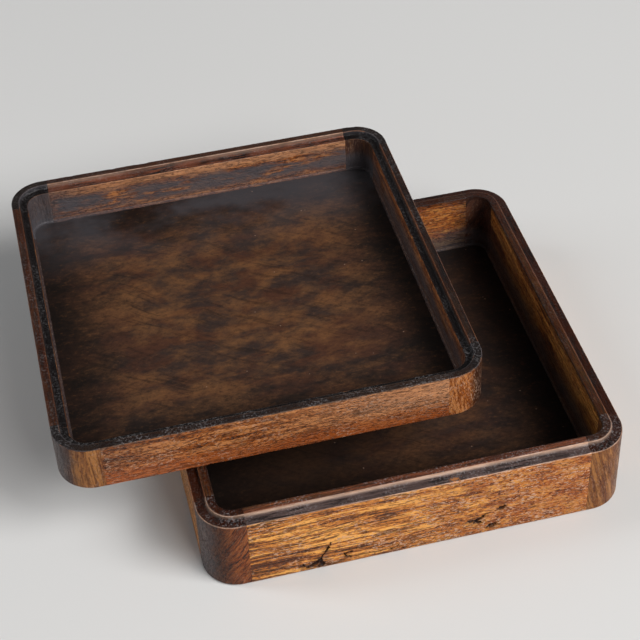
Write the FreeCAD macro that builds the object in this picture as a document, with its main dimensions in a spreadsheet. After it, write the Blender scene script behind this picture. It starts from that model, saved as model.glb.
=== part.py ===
import FreeCAD, Part
import math
import os
import Sketcher

# A square wooden box with rounded corners, in two halves, empty. The base tray stands on its
# underside. The lid lies upside down across the tray's rim, shifted to the left and to the back.
# Each half is a thin panel framed by four straight boards and four curved corner blocks.
# Millimetres, +Z up, +X to the right, -Y to the front. The origin is the centre of the tray's
# underside, on the surface that it stands on.

VECTOR = FreeCAD.Vector
Z_AXIS = VECTOR(0, 0, 1)

SIZES = {
    # plan, shared by both halves
    "outer_side": 180.0,
    "corner_radius": 15.0,
    "corner_return": 3.0,
    # base tray
    "base_height": 36.0,
    "base_wall": 8.4,
    "ledge_width": 4.5,
    "tongue_rise": 1.8,
    "base_panel_depth": 8.0,
    "base_lap_depth": 4.0,
    "base_lap_width": 4.0,
    # lid
    "lid_height": 22.4,
    "lid_wall": 7.2,
    "lid_play": 0.8,
    "tongue_top_gap": 0.6,
    "lid_panel_depth": 2.7,
    "lid_lap_depth": 1.5,
    "lid_lap_width": 3.2,
    # worn and moulded edges
    "lower_arris": 1.2,
    "rim_arris": 0.4,
    "riser_flat": 0.2,
    "cove_radius": 0.8,
    "foot_lip": 0.2,
    "foot_toe": 0.2,
    # hidden joints
    "panel_play": 0.2,
    "spline_depth": 4.0,
    "spline_thickness": 2.0,
    "spline_margin": 4.0,
    "spline_end_gap": 0.4,
    # where the lid lies on the tray
    "lid_shift_left": 50.5,
    "lid_shift_back": 33.9,
}

doc = FreeCAD.newDocument("InkBox")
sheet = doc.addObject("Spreadsheet::Sheet", "Sizes")
for row, (alias, value) in enumerate(SIZES.items(), start=1):
    sheet.set(f"A{row}", alias)
    sheet.set(f"B{row}", str(value))
    sheet.setAlias(f"B{row}", alias)
doc.recompute()

# A length is an expression in the sheet's words, such as "outer_side / 2 - base_wall".


def bound(expression):
    """The expression with each word tied to its cell in the sheet."""
    words = sorted(SIZES, key=len, reverse=True)
    text = expression
    for number, word in enumerate(words):
        text = text.replace(word, f"<{number}>")
    for number, word in enumerate(words):
        text = text.replace(f"<{number}>", f"Sizes.{word}")
    return text


def number(expression):
    """The expression's value now, in millimetres."""
    value = doc.Sizes.evalExpression(bound(expression).replace("Sizes.", ""))
    return float(getattr(value, "Value", value))


class Half:
    """One half of the box, as heights above its outer face and widths in from its side."""

    def __init__(self, name, outer_top, inner_top, step, wall, panel, lap_depth, lap_width, at):
        self.name = name
        self.outer_top = outer_top
        self.inner_top = inner_top
        self.step = step
        self.wall = wall
        self.panel = panel
        self.lap_depth = lap_depth
        self.lap_width = lap_width
        self.at = at


BASE = Half(
    name="base",
    outer_top="base_height",
    inner_top="base_height + tongue_rise",
    step="ledge_width",
    wall="base_wall",
    panel="base_panel_depth",
    lap_depth="base_lap_depth",
    lap_width="base_lap_width",
    at=("0", "0", "0"),
)
LID = Half(
    name="lid",
    outer_top="lid_height",
    inner_top="lid_height - tongue_rise - tongue_top_gap",
    step="ledge_width - lid_play",
    wall="lid_wall",
    panel="lid_panel_depth",
    lap_depth="lid_lap_depth",
    lap_width="lid_lap_width",
    at=("-lid_shift_left", "lid_shift_back", "base_height + tongue_rise"),
)

SIDES = ("front", "right", "back", "left")
CORNERS = ("front_left", "front_right", "back_right", "back_left")
QUARTER = 90


def turned(place, quarters):
    """An (x, y) pair of expressions, turned about +Z by quarter turns."""
    x, y = place
    return (
        (x, y),
        (f"-({y})", x),
        (f"-({x})", f"-({y})"),
        (y, f"-({x})"),
    )[quarters]


def put(item, half, place, quarters):
    """Turns a piece about +Z, and ties its place to the sheet."""
    item.Placement = FreeCAD.Placement(VECTOR(), FreeCAD.Rotation(Z_AXIS, quarters * QUARTER))
    x, y = turned(place, quarters)
    item.setExpression("Placement.Base.x", bound(f"{half.at[0]} + {x}"))
    item.setExpression("Placement.Base.y", bound(f"{half.at[1]} + {y}"))
    item.setExpression("Placement.Base.z", bound(half.at[2]))


def new_body(label):
    body = doc.addObject("PartDesign::Body", label)
    body.Label = label
    return body


def plane(body, role):
    return next(f for f in body.Origin.OriginFeatures if f.Role == role)


def new_sketch(body, name, role, offset=None):
    """A sketch on one of the body's own planes, or moved along the plane's normal."""
    sketch = body.newObject("Sketcher::SketchObject", name)
    sketch.AttachmentSupport = (plane(body, role), [""])
    sketch.MapMode = "FlatFace"
    if offset is not None:
        sketch.setExpression("AttachmentOffset.Base.z", bound(offset))
    return sketch


def tie(sketch, kind, *parts, to):
    """A driving dimension of a sketch, tied to the sheet."""
    index = sketch.addConstraint(Sketcher.Constraint(kind, *parts, number(to)))
    sketch.setExpression(f"Constraints[{index}]", bound(to))


ORIGIN = (-1, 1)
START, END = 1, 2
FLAT = 1e-9


def outline(sketch, corners, mirrored_across=False):
    """Draws a closed outline of level and upright lines.

    Each corner is (across, up, radius), as expressions. The radius is None for a sharp corner.
    mirrored_across draws it on the negative side of the sketch's upright axis.
    """
    sign = -1 if mirrored_across else 1
    count = len(corners)
    points = [VECTOR(sign * number(a), number(u), 0) for a, u, _ in corners]
    radii = [number(r) if r else 0 for _, _, r in corners]
    ways = [(points[(i + 1) % count] - points[i]).normalize() for i in range(count)]
    lines = []
    for i in range(count):
        j = (i + 1) % count
        start = points[i] + ways[i] * radii[i]
        end = points[j] - ways[i] * radii[j]
        lines.append(sketch.addGeometry(Part.LineSegment(start, end), False))
    for i in range(count):
        upright = abs(ways[i].x) < FLAT
        line = lines[i]
        across, up, _ = corners[i]
        sketch.addConstraint(Sketcher.Constraint("Vertical" if upright else "Horizontal", line))
        size = across if upright else up
        if abs(number(size)) < FLAT:
            axis = -2 if upright else -1
            sketch.addConstraint(Sketcher.Constraint("PointOnObject", line, START, axis))
        elif upright and mirrored_across:
            tie(sketch, "DistanceX", line, START, *ORIGIN, to=size)
        else:
            tie(sketch, "DistanceX" if upright else "DistanceY", *ORIGIN, line, START, to=size)
    for i in range(count):
        before = lines[i - 1]
        after = lines[i]
        if not radii[i]:
            sketch.addConstraint(Sketcher.Constraint("Coincident", before, END, after, START))
            continue
        way_in = ways[i - 1]
        way_out = ways[i]
        centre = points[i] + (way_out - way_in) * radii[i]
        leftward = way_in.cross(way_out).z > 0
        first = -way_out if leftward else way_in
        angle = math.atan2(first.y, first.x)
        circle = Part.Circle(centre, Z_AXIS, radii[i])
        arc = sketch.addGeometry(Part.ArcOfCircle(circle, angle, angle + math.pi / 2), False)
        near, far = (START, END) if leftward else (END, START)
        sketch.addConstraint(Sketcher.Constraint("Tangent", before, END, arc, near))
        sketch.addConstraint(Sketcher.Constraint("Tangent", arc, far, after, START))
        tie(sketch, "Radius", arc, to=corners[i][2])


# The cove in the rim's step is as wide as the closed lid's play and worn edge leave room for.
STEP_COVE = "min(lid_play + rim_arris; tongue_rise - rim_arris - riser_flat)"


def rail_corners(half, across):
    """The section that the boards and corner blocks of one half share.

    across turns a width in from the outer side into a distance from the sketch's upright axis.
    The outer side and the rim with its coved step come first, then the inner side down to its
    coved foot, then the rebate that laps over the panel's edge.
    """
    tongue_stands = number(half.inner_top) > number(half.outer_top)
    rim = "rim_arris"
    foot = f"{half.wall} + cove_radius + foot_lip"
    lap = f"{half.wall} - {half.lap_width}"
    return [
        (across("0"), "0", "lower_arris"),
        (across("0"), half.outer_top, rim),
        (across(half.step), half.outer_top, STEP_COVE if tongue_stands else rim),
        (across(half.step), half.inner_top, rim if tongue_stands else STEP_COVE),
        (across(half.wall), half.inner_top, rim),
        (across(half.wall), f"{half.panel} + foot_toe", "cove_radius"),
        (across(foot), f"{half.panel} + foot_toe", None),
        (across(foot), half.panel, None),
        (across(half.wall), half.panel, None),
        (across(half.wall), half.lap_depth, None),
        (across(lap), half.lap_depth, None),
        (across(lap), "0", None),
    ]


def slot_corners(half, across):
    """The mouth of a spline's slot, in the middle of the wall's thickness."""
    near = f"({half.wall} - spline_thickness) / 2"
    far = f"({half.wall} + spline_thickness) / 2"
    foot = f"{half.panel} + spline_margin"
    top = f"{lower_top(half)} - spline_margin"
    return [
        (across(near), foot, None),
        (across(near), top, None),
        (across(far), top, None),
        (across(far), foot, None),
    ]


def lower_top(half):
    """The lower of the two heights of the rim."""
    both = (half.outer_top, half.inner_top)
    return min(both, key=number)


def cut_slot(body, half, name, role, offset, across, mirrored_across):
    """Sinks a spline's slot into the end face that lies at the offset."""
    sketch = new_sketch(body, f"{name}_mouth", role, offset)
    outline(sketch, slot_corners(half, across), mirrored_across)
    slot = body.newObject("PartDesign::Pocket", name)
    slot.Profile = sketch
    slot.Midplane = True
    slot.setExpression("Length", bound("2 * spline_depth"))
    return slot


def from_outer_side(width):
    return width


def from_corner_axis(width):
    return f"corner_radius - ({width})"


REACH = "corner_radius + corner_return"
BOARD_LENGTH = f"outer_side - 2 * ({REACH})"
CENTRE_TO_CORNER_AXIS = "(outer_side / 2 - corner_radius)"


def make_board(half, side, quarters):
    """A straight board, with a slot for a spline in each end."""
    body = new_body(f"{half.name}_{side}_board")
    section = new_sketch(body, "section", "YZ_Plane")
    outline(section, rail_corners(half, from_outer_side))
    rail = body.newObject("PartDesign::Pad", "rail")
    rail.Profile = section
    rail.Midplane = True
    rail.setExpression("Length", bound(BOARD_LENGTH))
    end = f"({BOARD_LENGTH}) / 2"
    slot = cut_slot(body, half, "slot", "YZ_Plane", end, from_outer_side, False)
    both = body.newObject("PartDesign::Mirrored", "both_slots")
    both.Originals = [slot]
    both.MirrorPlane = (plane(body, "YZ_Plane"), [""])
    body.Tip = both
    put(body, half, ("0", "-outer_side / 2"), quarters)
    return body


def make_corner_block(half, corner, quarters):
    """A curved block with a short straight return at each end, and a slot in each end."""
    body = new_body(f"{half.name}_{corner}_corner")
    front = new_sketch(body, "front_section", "YZ_Plane")
    outline(front, rail_corners(half, from_corner_axis), mirrored_across=True)
    front_return = body.newObject("PartDesign::Pad", "front_return")
    front_return.Profile = front
    front_return.setExpression("Length", bound("corner_return"))
    bend = body.newObject("PartDesign::Revolution", "bend")
    bend.Profile = front
    bend.ReferenceAxis = (front, ["V_Axis"])
    bend.Angle = QUARTER
    bend.Reversed = True
    side = new_sketch(body, "side_section", "XZ_Plane")
    outline(side, rail_corners(half, from_corner_axis), mirrored_across=True)
    side_return = body.newObject("PartDesign::Pad", "side_return")
    side_return.Profile = side
    side_return.Reversed = True
    side_return.setExpression("Length", bound("corner_return"))
    cut_slot(body, half, "front_slot", "YZ_Plane", "corner_return", from_corner_axis, True)
    cut_slot(body, half, "side_slot", "XZ_Plane", "-corner_return", from_corner_axis, True)
    at_axis = f"-{CENTRE_TO_CORNER_AXIS}"
    put(body, half, (at_axis, at_axis), quarters)
    return body


def rounded_square(sketch, half_side, radius):
    """A square about the origin, with rounded corners, whose sides are tied to the sheet."""
    reach = number(half_side)
    round_ = number(radius)
    straight = reach - round_
    ends = (
        ((-straight, -reach), (straight, -reach)),
        ((reach, -straight), (reach, straight)),
        ((straight, reach), (-straight, reach)),
        ((-reach, straight), (-reach, -straight)),
    )
    lines = []
    for start, end in ends:
        segment = Part.LineSegment(VECTOR(*start, 0), VECTOR(*end, 0))
        lines.append(sketch.addGeometry(segment, False))
    for index, line in enumerate(lines):
        level = index % 2 == 0
        sketch.addConstraint(Sketcher.Constraint("Horizontal" if level else "Vertical", line))
        kind = "DistanceY" if level else "DistanceX"
        if index in (1, 2):
            tie(sketch, kind, *ORIGIN, line, START, to=half_side)
        else:
            tie(sketch, kind, line, START, *ORIGIN, to=half_side)
    middles = ((straight, -straight), (straight, straight), (-straight, straight), (-straight, -straight))
    for index, middle in enumerate(middles):
        angle = (index - 1) * math.pi / 2
        circle = Part.Circle(VECTOR(*middle, 0), Z_AXIS, round_)
        arc = sketch.addGeometry(Part.ArcOfCircle(circle, angle, angle + math.pi / 2), False)
        after = lines[(index + 1) % len(lines)]
        sketch.addConstraint(Sketcher.Constraint("Tangent", lines[index], END, arc, START))
        sketch.addConstraint(Sketcher.Constraint("Tangent", arc, END, after, START))
        tie(sketch, "Radius", arc, to=radius)


def make_panel(half, label):
    """The thin flat panel, flush outside, its raised field showing between the boards.

    Its edge is rebated, so that a thin lap reaches under the boards with a little play.
    """
    body = new_body(label)
    layers = (
        ("lap", f"{half.wall} - {half.lap_width} + panel_play", half.lap_depth),
        ("field", f"{half.wall} + panel_play", half.panel),
    )
    for name, inset, depth in layers:
        sketch = new_sketch(body, f"{name}_outline", "XY_Plane")
        rounded_square(sketch, f"outer_side / 2 - ({inset})", f"corner_radius - ({inset})")
        layer = body.newObject("PartDesign::Pad", name)
        layer.Profile = sketch
        layer.setExpression("Length", bound(depth))
    put(body, half, ("0", "0"), 0)
    return body


def make_splines(half):
    """The loose tongues hidden across the eight joints between boards and corner blocks."""
    length = "2 * (spline_depth - spline_end_gap)"
    height = f"{lower_top(half)} - {half.panel} - 2 * (spline_margin + spline_end_gap)"
    seam = f"(outer_side / 2 - ({REACH}))"
    inset = f"-outer_side / 2 + ({half.wall} - spline_thickness) / 2"
    pieces = []
    for quarters, side in enumerate(SIDES):
        for way, name in ((-1, "first"), (1, "second")):
            spline = doc.addObject("Part::Box", f"{half.name}_{side}_{name}_spline")
            spline.setExpression("Length", bound(length))
            spline.setExpression("Width", bound("spline_thickness"))
            spline.setExpression("Height", bound(height))
            spline.Placement.Rotation = FreeCAD.Rotation(Z_AXIS, quarters * QUARTER)
            start = f"({way} * {seam} - ({length}) / 2)"
            x, y = turned((start, f"({inset})"), quarters)
            spline.setExpression("Placement.Base.x", bound(x))
            spline.setExpression("Placement.Base.y", bound(y))
            foot = f"{half.panel} + spline_margin + spline_end_gap"
            spline.setExpression("Placement.Base.z", bound(foot))
            pieces.append(spline)
    group = doc.addObject("Part::MultiFuse", f"{half.name}_splines")
    group.Label = f"{half.name}_splines"
    group.Shapes = pieces
    put(group, half, ("0", "0"), 0)
    return group


subparts = []
for half, panel_label in ((BASE, "base_floor_panel"), (LID, "lid_top_panel")):
    subparts.append(make_panel(half, panel_label))
    for quarters, side in enumerate(SIDES):
        subparts.append(make_board(half, side, quarters))
    for quarters, corner in enumerate(CORNERS):
        subparts.append(make_corner_block(half, corner, quarters))
    subparts.append(make_splines(half))

doc.recompute()

for item in doc.Objects:
    if "Invalid" in item.State or "Error" in item.State:
        raise RuntimeError(f"{item.Label} failed: {item.State}")

for body in subparts:
    shape = body.Shape
    if shape.isNull() or not shape.isValid():
        raise RuntimeError(f"{body.Label} has no valid shape")
    for slot in getattr(body, "Group", []):
        if slot.TypeId == "PartDesign::Pocket" and slot.Shape.Volume >= slot.BaseFeature.Shape.Volume:
            raise RuntimeError(f"{body.Label}: {slot.Label} cuts nothing")

os.makedirs("parts", exist_ok=True)
for body in subparts:
    body.Shape.exportStep(f"parts/{body.Label}.step")
    print(f"{body.Label}: {len(body.Shape.Solids)} solids, {body.Shape.Volume / 1000:.2f} cm3")
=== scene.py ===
import math

import bmesh
import bpy
from bmesh.types import BMEdge, BMFace, BMVert
from mathutils import Euler, Matrix, Vector, noise


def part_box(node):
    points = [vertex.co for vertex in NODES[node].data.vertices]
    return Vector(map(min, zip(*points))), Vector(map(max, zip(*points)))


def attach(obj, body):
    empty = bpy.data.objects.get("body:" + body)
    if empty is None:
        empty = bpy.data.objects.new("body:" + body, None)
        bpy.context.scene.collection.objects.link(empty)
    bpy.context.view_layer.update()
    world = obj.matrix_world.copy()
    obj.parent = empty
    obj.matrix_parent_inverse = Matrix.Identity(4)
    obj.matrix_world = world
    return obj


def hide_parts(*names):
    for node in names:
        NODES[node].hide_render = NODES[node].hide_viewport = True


# An empty square box of dark old hardwood, in two halves. The base tray stands on its underside.
# The lid lies upside down across its rim. Each half is a thin panel in a frame of four straight
# boards and four curved corner blocks. Metres, +Z up, +X to the right, -Y to the front.

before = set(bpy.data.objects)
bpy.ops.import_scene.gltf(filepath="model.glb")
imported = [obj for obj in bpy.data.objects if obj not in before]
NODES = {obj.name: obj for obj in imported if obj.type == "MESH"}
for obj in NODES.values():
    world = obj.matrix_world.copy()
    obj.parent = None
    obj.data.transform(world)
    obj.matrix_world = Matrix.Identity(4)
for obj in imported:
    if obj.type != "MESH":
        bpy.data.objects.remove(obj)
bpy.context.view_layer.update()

bl_info = {
    "name": "Ink stick and stone box",
    "version": (1, 0, 0),
    "blender": (4, 5, 0),
    "location": "3D View > Sidebar > Ink box",
    "description": "Dresses the two halves of a wooden ink box in old, worn hardwood",
    "category": "Object",
}

MM = 0.001
UP = Vector((0, 0, 1))
RIGHT = Vector((1, 0, 0))
BACK = Vector((0, 1, 0))
QUARTER_TURN = math.pi / 2
SIDES = ("front", "right", "back", "left")
CORNERS = ("front_left", "front_right", "back_right", "back_left")


# Sizes and colours that a user would change


def length(name, description, default):
    return bpy.props.FloatProperty(
        name=name, description=description, default=default, min=0, unit="LENGTH", precision=5
    )


def share(name, description, default):
    return bpy.props.FloatProperty(
        name=name, description=description, default=default, min=0, max=1, subtype="FACTOR"
    )


def colour(name, description, default):
    return bpy.props.FloatVectorProperty(
        name=name, description=description, default=default, min=0, max=1, subtype="COLOR"
    )


def power(name, description, default):
    return bpy.props.FloatProperty(
        name=name, description=description, default=default, min=0, unit="POWER"
    )


class InkBoxSection(bpy.types.PropertyGroup):
    """The moulded section that the boards and corner blocks share."""

    corner_radius: length("Corner radius", "Radius of the outer corners", 15 * MM)
    base_wall: length("Base wall", "Thickness of the base's walls", 8.4 * MM)
    base_ledge: length("Base ledge", "Width of the low outer ledge of the base's rim", 4.5 * MM)
    base_step: length("Base step", "Height of the tongue above the ledge", 1.8 * MM)
    lid_wall: length("Lid wall", "Thickness of the lid's walls", 7.2 * MM)
    lid_rim: length("Lid rim", "Width of the raised outer edge of the lid's rim", 3.7 * MM)
    lid_step: length("Lid step", "Height of the raised edge above the inner ledge", 2.4 * MM)
    slot_depth: length("Slot depth", "Depth of a spline's slot in an end face", 4.0 * MM)
    slot_gap: length("Slot gap", "Room past each end of a spline in its slot", 0.4 * MM)


class InkBoxWear(bpy.types.PropertyGroup):
    """How far use has rubbed and knocked the edges."""

    rub: length("Rub", "Most that the arrises are rubbed back", 0.10 * MM)
    chip: length("Chip", "Depth of the small knocks along the arrises", 0.30 * MM)
    groove: length("Groove", "Depth of the fine line along each joint", 0.08 * MM)
    crack: length("Crack", "Depth of the cracks in the base's front board", 1.1 * MM)


class InkBoxWoods(bpy.types.PropertyGroup):
    """The colours of the woods, of what has settled on them, and of the shade, sheen and glints
    painted over them.
    """

    amber_gold: colour("Amber gold", "Palest streaks of the base's boards", (0.80, 0.37, 0.085))
    amber: colour("Amber", "Main wood of the base's boards", (0.47, 0.155, 0.026))
    amber_red: colour("Amber red", "Redder patches of the base's boards", (0.30, 0.070, 0.015))
    amber_dark: colour("Amber dark", "Darkest streaks of the base's boards", (0.110, 0.030, 0.009))
    russet_pale: colour("Russet pale", "Palest streaks of the lid's boards", (0.44, 0.170, 0.055))
    russet: colour("Russet", "Main wood of the lid's boards", (0.225, 0.060, 0.012))
    russet_dark: colour("Russet dark", "Darkest streaks of the lid's boards", (0.065, 0.022, 0.010))
    block_gold: colour("Block gold", "Golden stripes of the corner blocks", (0.30, 0.122, 0.034))
    block_brown: colour("Block brown", "Brown ground of the corner blocks", (0.185, 0.066, 0.018))
    block_red: colour("Block red", "Red-brown wood of the corner blocks", (0.150, 0.035, 0.009))
    # Block dark is also laid as painted shade: low on the inner walls, over the lid's left inner wall,
    # in the inner corners and round the front left bends.
    block_dark: colour("Block dark", "Dark wood of the corner blocks", (0.022, 0.010, 0.007))
    panel_warm: colour("Panel warm", "Warm patches of the panels", (0.185, 0.080, 0.030))
    panel_red: colour("Panel red", "Reddish patches of the panels", (0.065, 0.026, 0.015))
    panel_ground: colour("Panel ground", "Ground of the panels", (0.036, 0.022, 0.018))
    # Panel dark is laid as painted shade beside the walls and as the lid's painted shadow on the
    # base's floor, and also darkens the panels' grain lines.
    panel_dark: colour("Panel dark", "Panels beside the walls", (0.009, 0.006, 0.005))
    pore: colour("Pore", "Open pores and cracks", (0.022, 0.009, 0.006))
    fleck: colour("Fleck", "Pale wax in the pores", (0.54, 0.35, 0.25))
    # Glint: painted glints, pale specks on the rims that stand in for small highlights in their
    # polish.
    glint: colour("Glint", "Worn specks in the rims' polish", (0.48, 0.46, 0.47))
    # Russet sheen: a painted sheen laid high on the lid's front board toward its right, and a painted
    # brighter band high inside its back board.
    russet_sheen: colour("Russet top", "Rubbed upper edges of the lid's boards", (0.56, 0.265, 0.130))
    rim_black: colour("Rim black", "Black polish on the rims", (0.007, 0.005, 0.005))
    # Painted sheen: the grey laid on the base's front ledge stands in for the gloss that reflects
    # there.
    ledge_sheen: colour("Rim grey", "Grey bloom on the base's front ledge", (0.100, 0.066, 0.060))
    rim_red: colour("Rim red", "Red-brown polish on the rims", (0.036, 0.0075, 0.002))
    rim_tan: colour("Rim tan", "Red-brown wood on the base's front tongue", (0.155, 0.047, 0.023))
    # Rubbed: the pale colour of arrises and steps, partly rubbed wear and partly painted highlight on
    # the edges that face the front.
    rubbed: colour("Rubbed", "Rubbed arrises", (0.64, 0.43, 0.32))
    worn_red: colour("Worn red", "Rubbed arrises away from the front", (0.24, 0.085, 0.040))
    # Bloom and sheen: blue-grey laid in clouds on the inner walls, and as painted sheen on the panels'
    # back, the front left blocks' far side, the back left inner corners and the lid's corner arrises.
    bloom_and_sheen: colour("Haze", "Blue-grey bloom on old polish", (0.075, 0.072, 0.080))
    bare: colour("Bare", "Fresh wood in a knock", (0.42, 0.160, 0.050))
    block_rust: colour("Block rust", "Lighter streaks of the red corner blocks", (0.240, 0.070, 0.018))
    spline: colour("Spline", "Plain wood of the hidden splines", (0.30, 0.17, 0.09))


class InkBoxStudio(bpy.types.PropertyGroup):
    """The floor, the lamps and the light all round."""

    floor: colour("Floor", "Floor round the box", (0.70, 0.69, 0.675))
    low_sky: share("Low light", "Light from near the horizon", 0.50)
    high_sky: share("High light", "Light from overhead", 0.08)
    key_power: power("Key", "Power of the large lamp on the right", 94)
    fill_power: power("Fill", "Power of the lamp in front", 38)
    edge_power: power("Edge", "Power of the strip lamp at the back left", 26)


SETTINGS = {
    "ink_box_section": InkBoxSection,
    "ink_box_wear": InkBoxWear,
    "ink_box_woods": InkBoxWoods,
    "ink_box_studio": InkBoxStudio,
}


# The two halves, as heights above the outer face and widths in from the side


class Half:
    """Where one half lies and how its section is stepped, read from the frame."""

    def __init__(self, name, section):
        self.name = name
        front_low, front_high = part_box(f"{name}_front_board")
        right_low, right_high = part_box(f"{name}_right_board")
        panel = "base_floor_panel" if name == "base" else "lid_top_panel"
        self.seam = (front_high.x - front_low.x) / 2
        middle = (front_low.x + front_high.x) / 2
        self.centre = Vector((middle, (right_low.y + right_high.y) / 2, front_low.z))
        self.half_side = right_high.x - middle
        self.top = front_high.z - front_low.z
        self.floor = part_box(panel)[1].z - front_low.z
        self.radius = section.corner_radius
        if name == "base":
            self.wall = section.base_wall
            self.step = section.base_ledge
            self.outer_top = self.top - section.base_step
            self.inner_top = self.top
        else:
            self.wall = section.lid_wall
            self.step = section.lid_rim
            self.outer_top = self.top
            self.inner_top = self.top - section.lid_step

    def place(self, point):
        """A point's width in from the side, its height, and the way out from the box there."""
        from_centre = point - self.centre
        straight = self.half_side - self.radius
        past_x = abs(from_centre.x) - straight
        past_y = abs(from_centre.y) - straight
        out = Vector((
            math.copysign(max(past_x, 0), from_centre.x),
            math.copysign(max(past_y, 0), from_centre.y),
            0,
        ))
        return self.radius - out.length, from_centre.z, out.normalized()


# Meshes of the boards and corner blocks

MERGE = 0.001 * MM
SAME_PLACE = 0.01 * MM
FLAT_ANGLE = math.radians(0.1)
SMOOTH_ANGLE = math.radians(32)
RIM_GUARD = 0.7 * MM
LOWER_GUARD = 1.6 * MM
SEAM_RING = 0.15 * MM
RING_SPACING = 1.0 * MM
BEND_STEPS = 36


def section_loop(mesh, half):
    """The outline of the half's moulded section, cut from the middle of its front board."""
    mesh.from_mesh(NODES[f"{half.name}_front_board"].data)
    bmesh.ops.remove_doubles(mesh, verts=mesh.verts, dist=MERGE)
    bmesh.ops.bisect_plane(
        mesh, geom=everything(mesh), dist=MERGE, plane_co=half.centre, plane_no=RIGHT,
        clear_outer=True, clear_inner=True,
    )
    bmesh.ops.dissolve_limit(mesh, angle_limit=FLAT_ANGLE, verts=mesh.verts, edges=mesh.edges)
    front = half.centre - half.half_side * BACK
    heights = (LOWER_GUARD, half.outer_top - RIM_GUARD, half.inner_top - RIM_GUARD)
    widths = (
        RIM_GUARD, LOWER_GUARD, half.step - RIM_GUARD, half.step + RIM_GUARD,
        half.wall - RIM_GUARD,
    )
    for height in heights:
        cut(mesh, everything(mesh), front + UP * height, UP)
    for width in widths:
        cut(mesh, everything(mesh), front + BACK * width, BACK)
    return mesh.edges[:]


def everything(mesh):
    return mesh.verts[:] + mesh.edges[:] + mesh.faces[:]


def verts_of(parts):
    """The vertices of some edges or faces, each once."""
    return list(dict.fromkeys(vert for part in parts for vert in part.verts))


def only(kind, parts):
    return [part for part in parts if isinstance(part, kind)]


def cut(mesh, geometry, point, way):
    return bmesh.ops.bisect_plane(
        mesh, geom=geometry, dist=SAME_PLACE, plane_co=point, plane_no=way
    )["geom"]


def draw_out(mesh, edges, way, distances):
    """Extrudes a loop along one way, with a ring at each distance from its start."""
    done = 0
    for distance in distances:
        grown = bmesh.ops.extrude_edge_only(mesh, edges=edges)["geom"]
        edges = only(BMEdge, grown)
        bmesh.ops.translate(mesh, verts=only(BMVert, grown), vec=way * (distance - done))
        done = distance
    return edges


def rings(total):
    """Distances of the rings along a straight stretch, close together at both seams."""
    count = round(total / RING_SPACING)
    between = [total * step / count for step in range(1, count)]
    return [SEAM_RING] + between + [total - SEAM_RING, total]


def board_mesh(mesh, half):
    """A straight board in the front's place."""
    loop = section_loop(mesh, half)
    bmesh.ops.translate(mesh, verts=mesh.verts, vec=-RIGHT * half.seam)
    draw_out(mesh, loop, RIGHT, rings(2 * half.seam))


def corner_mesh(mesh, half):
    """A curved block with its two short returns, in the front left's place."""
    loop = section_loop(mesh, half)
    bmesh.ops.translate(mesh, verts=mesh.verts, vec=-RIGHT * half.seam)
    straight = half.half_side - half.radius
    loop_return = straight - half.seam
    loop = draw_out(mesh, loop, -RIGHT, rings(loop_return)[:-2] + [loop_return])
    axis = half.centre - Vector((straight, straight, 0))
    spun = bmesh.ops.spin(
        mesh, geom=verts_of(loop) + loop, cent=axis, axis=UP, angle=-QUARTER_TURN,
        steps=BEND_STEPS, use_merge=False, use_duplicate=False,
    )["geom_last"]
    draw_out(mesh, only(BMEdge, spun), BACK, rings(loop_return)[1:])


def cap_ends(mesh):
    """Closes both end faces."""
    ends = [e for e in mesh.edges if e.is_boundary]
    caps = bmesh.ops.edgeloop_fill(mesh, edges=ends)["faces"]
    bmesh.ops.recalc_face_normals(mesh, faces=mesh.faces)
    return caps


def sink_slot(mesh, half, cap, depth, gap):
    """Sinks a spline's slot into the middle of an end face."""
    low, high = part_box(f"{half.name}_splines")
    inward = -cap.normal.copy()
    near = half.centre.x + half.half_side - high.x
    along_wall = UP.cross(inward)
    middle = cap.calc_center_median()
    half_thickness = half.wall / 2 - near
    _, _, out = half.place(middle)
    wall_middle = middle + out * (half.place(middle)[0] - half.wall / 2)
    geometry = [cap] + cap.edges[:] + cap.verts[:]
    for offset in (-half_thickness, half_thickness):
        geometry = cut(mesh, geometry, wall_middle + along_wall * offset, along_wall)
    for height in (low.z - gap, high.z + gap):
        geometry = cut(mesh, geometry, Vector((0, 0, height)), UP)
    faces = only(BMFace, geometry)
    mouth_middle = Vector((wall_middle.x, wall_middle.y, (low.z + high.z) / 2))
    mouth = min(faces, key=lambda face: (face.calc_center_median() - mouth_middle).length)
    sunk = bmesh.ops.extrude_face_region(mesh, geom=[mouth])["geom"]
    bmesh.ops.translate(mesh, verts=only(BMVert, sunk), vec=inward * depth)
    if mouth.is_valid:
        bmesh.ops.delete(mesh, geom=[mouth], context="FACES_ONLY")


def groove_seams(caps, depth):
    """Takes the edges of both end faces back a little, so that each joint shows as a line."""
    for cap in caps:
        across = cap.normal.copy()
        moves = []
        for vert in cap.verts:
            inward = -(vert.normal - across * vert.normal.dot(across))
            moves.append((vert, inward.normalized() * depth))
        for vert, move in moves:
            vert.co += move


# The noise that rubs and chips the arrises, and how far from each arris it reaches
RUB_SIZE = 7 * MM
CHIP_SIZE = 3.2 * MM
CHIP_FROM = 0.42
CHIP_TO = 0.62
RUB_REACH = 0.62 * MM
LOWER_REACH = 0.95 * MM
LOWER_INSET = 0.3 * MM
PALE_GAIN = 1.35


def ease(value, low, high):
    """0 below low, 1 above high, and smooth between."""
    t = min(max((value - low) / (high - low), 0), 1)
    return t * t * (3 - 2 * t)


def arrises_of(half):
    """Each arris: its width and height, the way into the wood, its reach and its paleness, which
    stands for rubbing and for painted highlight.
    """
    outward = -1 if half.inner_top > half.outer_top else 1
    return (
        (0, half.outer_top, -1, -1, RUB_REACH, 1.0),
        (half.step, max(half.outer_top, half.inner_top), outward, -1, RUB_REACH, 0.85),
        (half.wall, half.inner_top, 1, -1, RUB_REACH, 0.55),
        (LOWER_INSET, LOWER_INSET, -1, 1, LOWER_REACH, 0.5),
    )


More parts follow.
